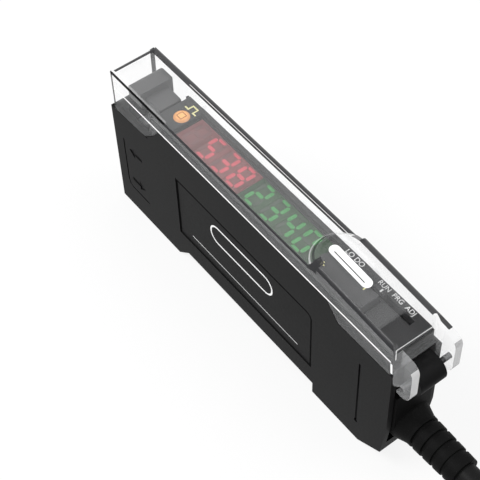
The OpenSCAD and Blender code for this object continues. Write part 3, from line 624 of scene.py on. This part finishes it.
def lid_finish(centre, normal):
    """The finish of one face of the lid, from its place and the way it faces."""
    x, y, z = drawn(centre)
    across = abs(normal.y)
    # painted shade on the far edge beside the ears
    if END_WALL_X < x < FAR_EDGE_END and y > FAR_EDGE_Y and normal.z > 0.35:
        return EDGE_SHADE_SHEET
    # painted reflection: white foot of the far wall
    if LINE_START < x < FOOT_END and y > WALL_IN_Y and z < WALL_FOOT_Z and normal.z < -0.5:
        return WHITE_HIGHLIGHT_SHEET
    # end faces of the ears: painted shade on the far one, painted highlight on the near one
    if x > EAR_END_X and normal.x > 0.75:
        return FAR_EAR_SHADE_SHEET if y > 0.0 else LID_EAR_GLINT
    # painted sheen on the rest of the ears
    if x > EAR_START:
        return LID_EAR
    # painted shade on the end wall
    if x > END_WALL_X and normal.x > 0.8:
        return HUMP_SHADE_SHEET
    if 52.0 < x < 58.5 and z > LID_TOP and normal.x < -0.25 and normal.z > 0.3:
        return nose_finish(z)
    # painted highlight and painted shade on the rounded near edge by the lever
    if 1.2 < x < SHADE_END and y < NEAR_EDGE_CUT_Y and z > WALL_FOOT_Z and normal.z > 0.1:
        return near_edge_finish(across)
    # painted shade on the rounded edges, over more of the far edge than the near one
    least, most = (0.05, 0.985) if y > 0.0 else (0.55, 0.9)
    if z > WALL_FOOT_Z and normal.z > 0.1 and least < across < most:
        return EDGE_SHADE_SHEET
    # two lines of painted shade on the top along the far edge, with a clear strip between them along
    # the display
    between_lines = LINE_START < x < HUMP_START and THIN_LINE[1] < y < WIDE_LINE
    if z > FLAT_Z and normal.z > 0.95 and y > THIN_LINE[0] and not between_lines:
        return EDGE_SHADE_SHEET
    # painted shade on the hump's tail
    if x > TAIL_START and z > TAIL_Z and abs(normal.z) > 0.3 and across < 0.3:
        return TAIL_SHADE_SHEET
    # painted shade on the hump's top
    if z > HUMP_Z and normal.z > 0.9:
        return HUMP_SHADE_SHEET
    # painted shade on the front edge
    if x < FRONT_X and normal.z > 0.94 and normal.x < -0.04:
        return EDGE_SHADE_SHEET
    if x < FRONT_X and abs(normal.z) < 0.3 and normal.x < -0.2 and 0.5 < across < 0.8:
        return EDGE_SHADE_SHEET
    # painted sheen on the near wall
    return NEAR_WALL_SHEEN_SHEET if across > 0.9 and y < 0.0 and x > LINE_START else CLEAR_LID


lid = softened("lid", "lid_moulding", CLEAR_LID, 0.12, 0.3, cuts=LID_CUTS)
for finish in LID_FINISHES[1:]:
    lid.data.materials.append(finish)
for polygon in lid.data.polygons:
    polygon.material_index = LID_FINISHES.index(lid_finish(polygon.center, polygon.normal))

# inner pieces and pins keep the CAD mesh
NODE_FINISH = {
    "display_window": SMOKED, "output_lamp": AMBER, "red_display": RED_FIELD,
    "green_display": GREEN_FIELD, "display_board": BOARD, "main_board": BOARD,
    "push_switches": SWITCH_BODY, "slide_switches": SWITCH_BODY, "rocker_pin": PIN,
    "lever_pin": PIN, "hinge_pin": DARK_PIN, "clamp_plate": PLATE, "optical_block": HOLDER,
    "emitter": OPTIC, "receiver": OPTIC, "emitter_port": BUSH, "receiver_port": BUSH}
for node_name, finish in NODE_FINISH.items():
    node_mesh = frame["nodes"][node_name].data
    node_mesh.materials.clear()
    node_mesh.materials.append(finish)


# lit digits: each bar is a point with its turn and stretch
DIGIT_W = 2.25
DIGIT_H = 4.75
BAR_W = 0.7
BAR_H = 0.06
BAR_LENGTH = 1.66
UPRIGHT_GAP = 0.55
BAR_SUNK = 0.1
LEAN = 0.02
DIGIT_PITCH = 4.03
FIRST_DIGIT = {"red_display": 19.56, "green_display": 36.69}
BAR_PLACES = {
    "a": (0.5, 1.0, False), "b": (1.0, 0.75, True), "c": (1.0, 0.25, True), "d": (0.5, 0.0, False),
    "e": (0.0, 0.25, True), "f": (0.0, 0.75, True), "g": (0.5, 0.5, False)}
DIGIT_BARS = {" ": "", "0": "abcdef", "2": "abged", "3": "abgcd", "4": "fgbc", "5": "afgcd",
              "8": "abcdefg"}


def bar_points(name, display, shown, lit_ones):
    """Points for the lit or the unlit bars of the four digits on one display."""
    floor = drawn(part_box(display)[1])[2] - BAR_SUNK
    places, turns, stretches = [], [], []
    for n, digit in enumerate(shown):
        centre = FIRST_DIGIT[display] + n * DIGIT_PITCH
        for bar, (across, up, upright) in BAR_PLACES.items():
            if (bar in DIGIT_BARS[digit]) != lit_ones:
                continue
            y = (up - 0.5) * DIGIT_H
            places.append(at(centre + (across - 0.5) * DIGIT_W + LEAN * y, y, floor))
            turns.append(math.atan2(1.0, LEAN) if upright else 0.0)
            stretches.append((DIGIT_H / 2.0 - UPRIGHT_GAP) / BAR_LENGTH if upright else 1.0)
    mesh = bpy.data.meshes.new(name)
    mesh.from_pydata([tuple(p) for p in places], [], [])
    for label, values in (("turn", turns), ("stretch", stretches)):
        mesh.attributes.new(label, "FLOAT", "POINT").data.foreach_set("value", values)
    return mesh


for display, shown, on_ink, off_ink in (("red_display", " 538", RED_BAR, RED_DARK_BAR),
                                        ("green_display", "2340", GREEN_BAR, GREEN_DARK_BAR)):
    for lit_ones, ink, label in ((True, on_ink, "lit"), (False, off_ink, "unlit")):
        name = f"{display}_{label}_bars"
        bars = grown(name, bar_points(name + "_points", display, shown, lit_ones), BARS, BAR_KEYS,
                     {"Length": BAR_LENGTH * MM, "Width": BAR_W * MM, "Height": BAR_H * MM,
                      "Material": ink})
        piece(name, bars, "housing", None)


# printed marks, and lines of painted highlight and painted shade
INK = 0.02
DECK_TOP = drawn(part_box("display_window")[1])[2]
ROCKER_X = 59.3
DISH_R = 40.0
DISH_LOW = 31.5
KNOB_TOP = 31.3
HUMP_X = 57.5
HUMP_TOP = 35.15
HUMP_SLOPE = math.tan(math.radians(4.3))
LABEL_Y = -4.8
NEAR_WALL_Y = -4.97
END_HIGHLIGHT_X = 74.4


def words(name, text, size, x, y, z, ink):
    """Lettering on a level face, read along x."""
    curve = bpy.data.curves.new(name, "FONT")
    curve.body = text
    curve.size = size * MM
    curve.extrude = INK * MM / 2.0
    curve.align_x = "CENTER"
    curve.align_y = "CENTER"
    mesh = evaluated_mesh(helper_object(name + "_helper", curve), name)
    mesh.transform(Matrix.Translation(at(x, y, z + INK / 2.0)))
    return piece(name, mesh, "housing", ink)


def ribbon(name, points, width, place, body, ink, closed=False):
    """A line of even width with mitred corners, used for print and for painted highlights and shade;
    place turns (u, v, height) into a point.
    """
    bm = bmesh.new()
    count = len(points)
    sides = []
    for i, (x, y) in enumerate(points):
        before = points[i - 1] if i or closed else None
        after = points[(i + 1) % count] if i < count - 1 or closed else None
        ways = []
        if before is not None:
            ways.append(Vector((x - before[0], y - before[1])).normalized())
        if after is not None:
            ways.append(Vector((after[0] - x, after[1] - y)).normalized())
        along = sum(ways, Vector((0.0, 0.0))).normalized()
        across = Vector((-along.y, along.x))
        spread = width / 2.0 / max(0.3, across.dot(Vector((-ways[0].y, ways[0].x))))
        sides.append([(x + across.x * s * spread, y + across.y * s * spread) for s in (-1.0, 1.0)])
    rings = []
    for left, right in sides:
        rings.append([bm.verts.new(place(u, v, h))
                      for (u, v), h in ((left, 0.0), (right, 0.0), (right, INK), (left, INK))])
    for i in range(count if closed else count - 1):
        a, b = rings[i], rings[(i + 1) % count]
        for k in range(4):
            bm.faces.new((a[k], a[(k + 1) % 4], b[(k + 1) % 4], b[k]))
    if not closed:
        bm.faces.new(rings[0])
        bm.faces.new(rings[-1])
    return piece(name, mesh_of(bm, name), body, ink)


def plate(name, outline, place, body, ink):
    """A printed field with this outline."""
    bm = bmesh.new()
    under, top = ([bm.verts.new(place(u, v, h)) for u, v in outline] for h in (0.0, INK))
    bm.faces.new(under)
    bm.faces.new(top)
    for i in range(len(outline)):
        k = (i + 1) % len(outline)
        bm.faces.new((under[i], under[k], top[k], top[i]))
    return piece(name, mesh_of(bm, name), body, ink)


def rounded(u0, u1, v0, v1, radius, steps=8):
    """The outline of a rectangle with round corners."""
    points = []
    for u, v, start in ((u1 - radius, v0 + radius, -90.0), (u1 - radius, v1 - radius, 0.0),
                        (u0 + radius, v1 - radius, 90.0), (u0 + radius, v0 + radius, 180.0)):
        for k in range(steps + 1):
            turn = math.radians(start + 90.0 * k / steps)
            points.append((u + radius * math.cos(turn), v + radius * math.sin(turn)))
    return points


def on_deck(u, v, height):
    return at(u, v, DECK_TOP + height)


def on_rocker(u, v, height):
    """The rocker's dished top."""
    return at(u, v, DISH_LOW + DISH_R - math.sqrt(DISH_R ** 2 - (u - ROCKER_X) ** 2) + height)


def on_knob(u, v, height):
    return at(u, v, KNOB_TOP + height)


def on_hump(u, v, height):
    """The sloping top of the lid's hump."""
    return at(u, v, HUMP_TOP - HUMP_SLOPE * (u - HUMP_X) + height)


def on_plate(u, v, height):
    return on_hump(u, v, INK + height)


def on_side(u, v, height):
    """The floor of the near side's label field."""
    return at(u, LABEL_Y - height, v)


def in_wall(u, v, height):
    """Just inside the lid's near wall."""
    return at(u, NEAR_WALL_Y - height, v)


def in_end(u, v, height):
    """Inside the lid's end wall, above the hinge."""
    return at(END_HIGHLIGHT_X - height, u, v)


words("output_switch_words", "LO DO", 1.3, 56.6, 3.25, DECK_TOP, WHITE_INK)
words("mode_switch_words", "RUN  PRG  ADJ", 1.22, 66.3, 3.25, DECK_TOP, WHITE_INK)
# painted highlights: white lines along the foot of the lid's near wall, inside its end wall and down
# its corner at the hinge end
ribbon("lid_foot_highlight_line", [(1.9, 30.19), (74.2, 30.19)], 0.34, in_wall, "lid", WHITE_HIGHLIGHT_SHEET)
ribbon("lid_end_highlight_line", [(-4.15, 30.2), (-4.25, 32.75), (3.4, 32.4)], 0.2, in_end, "lid", WHITE_HIGHLIGHT_SHEET)
ribbon("lid_corner_highlight_line", [(74.4, 29.9), (74.6, 27.6)], 0.4, in_wall, "lid", WHITE_HIGHLIGHT_SHEET)
# painted shade: dark line along the top and sides of the label field's recessed edge
ribbon("label_edge_shade_line", [(19.4, 7.2), (19.4, 21.25), (54.9, 21.25), (55.6, 20.9), (55.95, 20.2),
                      (55.95, 7.2)], 0.34, on_side, "housing", DARK_PRINT_AND_SHADE)
ribbon("pulse_mark", [(13.6, 1.9), (14.5, 1.9), (14.5, 3.0), (15.8, 3.0), (15.8, 1.9), (16.6, 1.9)],
       0.28, on_deck, "housing", YELLOW_INK)
for name, ends in (("plus_along", [(54.4, -2.0), (55.4, -2.0)]),
                   ("plus_across", [(54.9, -2.5), (54.9, -1.5)]),
                   ("minus_mark", [(62.5, -0.3), (62.5, 0.5)])):
    ribbon(name, ends, 0.22, on_rocker, "rocker", YELLOW_INK)
ribbon("mode_tick", [(64.2, 1.62), (64.2, 2.28)], 0.3, on_knob, "mode_knob", WHITE_INK)
plate("write_on_plate", rounded(55.2, 64.4, -1.55, 0.35, 0.94), on_hump, "lid", WHITE_INK)
ribbon("plate_line", [(56.3, -0.85), (63.3, -0.85)], 0.16, on_plate, "lid", DARK_PRINT_AND_SHADE)
ribbon("side_field", rounded(29.0, 45.8, 14.9, 19.1, 2.0), 0.35, on_side, "housing", WHITE_INK,
       closed=True)
ribbon("side_writing_line", [(23.0, 9.3), (52.6, 9.3)], 0.22, on_side, "housing", GREY_INK)


# studio
def white_to_sight(tree):
    """1 for rays that the eye, a reflection or clear plastic sends, and 0 for the rest."""
    path = add(tree, "ShaderNodeLightPath").outputs
    first = add(tree, "ShaderNodeMath", {0: path["Is Camera Ray"], 1: path["Is Glossy Ray"]},
                operation="MAXIMUM")
    return add(tree, "ShaderNodeMath", {0: first.outputs[0], 1: path["Is Transmission Ray"]},
               operation="MAXIMUM").outputs[0]


def set_world(level):
    world = bpy.data.worlds.new("white_room")
    scene.world = world
    world.use_nodes = True
    tree = world.node_tree
    strength = add(tree, "ShaderNodeMapRange",
                   {"Value": white_to_sight(tree), "To Min": level, "To Max": 1.0})
    tree.links.new(strength.outputs["Result"], tree.nodes["Background"].inputs["Strength"])
    tree.nodes["Background"].inputs["Color"].default_value = (1.0, 1.0, 1.0, 1.0)


def set_floor(share):
    made, tree, skin = blank_material("pale_floor")
    place = add(tree, "ShaderNodeTexCoord").outputs["Object"]
    cloud = add(tree, "ShaderNodeTexNoise", {"Vector": place, "Scale": 6.0}).outputs["Fac"]
    tree.links.new(ramp(tree, cloud, (0.8, 0.8, 0.8), (0.82, 0.82, 0.82)),
                   skin.inputs["Base Color"])
    skin.inputs["Roughness"].default_value = 0.9
    skin.inputs["Specular IOR Level"].default_value = 0.0
    white = add(tree, "ShaderNodeEmission", {"Color": (1.0, 1.0, 1.0, 1.0), "Strength": 1.0})
    seen = add(tree, "ShaderNodeMath", {0: white_to_sight(tree), 1: share}, operation="MULTIPLY")
    both = add(tree, "ShaderNodeMixShader", {"Fac": seen.outputs[0]})
    tree.links.new(skin.outputs["BSDF"], both.inputs[1])
    tree.links.new(white.outputs["Emission"], both.inputs[2])
    tree.links.new(both.outputs["Shader"], tree.nodes["Material Output"].inputs["Surface"])
    mesh = bpy.data.meshes.new("floor")
    half, level = 3.0, -5e-5
    mesh.from_pydata([(-half, -half, level), (half, -half, level), (half, half, level),
                      (-half, half, level)], [], [(0, 1, 2, 3)])
    mesh.materials.append(made)
    helper_object("floor", mesh)


def softbox(name, place, aim, size, power):
    light = bpy.data.lights.new(name, "AREA")
    light.shape = "DISK"
    light.size = size
    light.energy = power
    made = helper_object(name, light)
    way = Vector(aim) - Vector(place)
    made.matrix_world = (Matrix.Translation(place)
                         @ way.to_track_quat("-Z", "Y").to_matrix().to_4x4())


set_world(0.75)
set_floor(0.85)
softbox("key_light", (-0.25, -0.35, 0.55), (0.0, 0.0, 0.02), 0.35, 3.0)
softbox("fill_light", (0.3, 0.3, 0.6), (0.0, 0.0, 0.02), 0.5, 1.5)
scene.view_settings.view_transform = "Standard"
